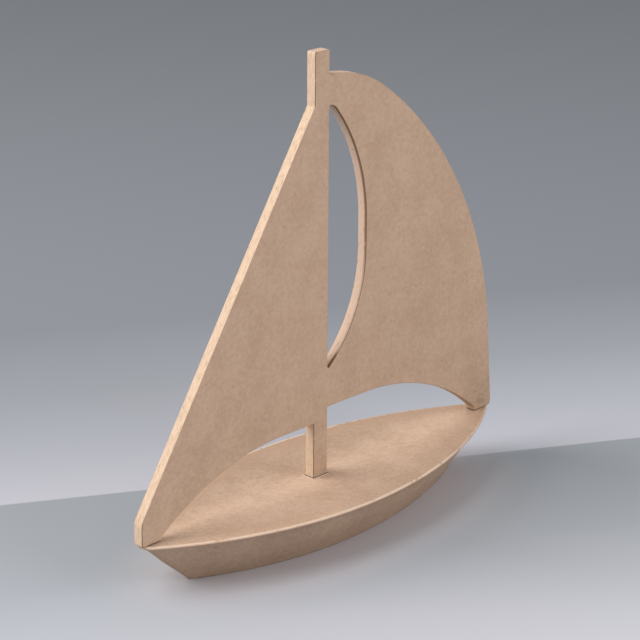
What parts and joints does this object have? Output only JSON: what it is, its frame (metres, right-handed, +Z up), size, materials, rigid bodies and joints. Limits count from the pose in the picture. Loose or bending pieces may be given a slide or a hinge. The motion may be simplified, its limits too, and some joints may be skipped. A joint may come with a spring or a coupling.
{
  "type": "papier-mache sailboat craft blank",
  "caption": "Undecorated paper sailboat: closed hull with a pointed oval deck, and one flat cut board of mast, foresail and mainsail standing in a deck slot.",
  "frame": {"origin": "on the floor, under the middle of the whole boat", "axes": "+X from bow to stern, +Y to port across the deck, +Z up"},
  "size_m": [0.2496, 0.085, 0.24],
  "materials": {
    "hull_paper": "matt kraft-brown papier-mache",
    "board_card": "matt pressed pulp board with paler cut edges"
  },
  "bodies": {
    "root": {"hull": "hull_paper", "sail_board": "board_card"}
  },
  "joints": []
}
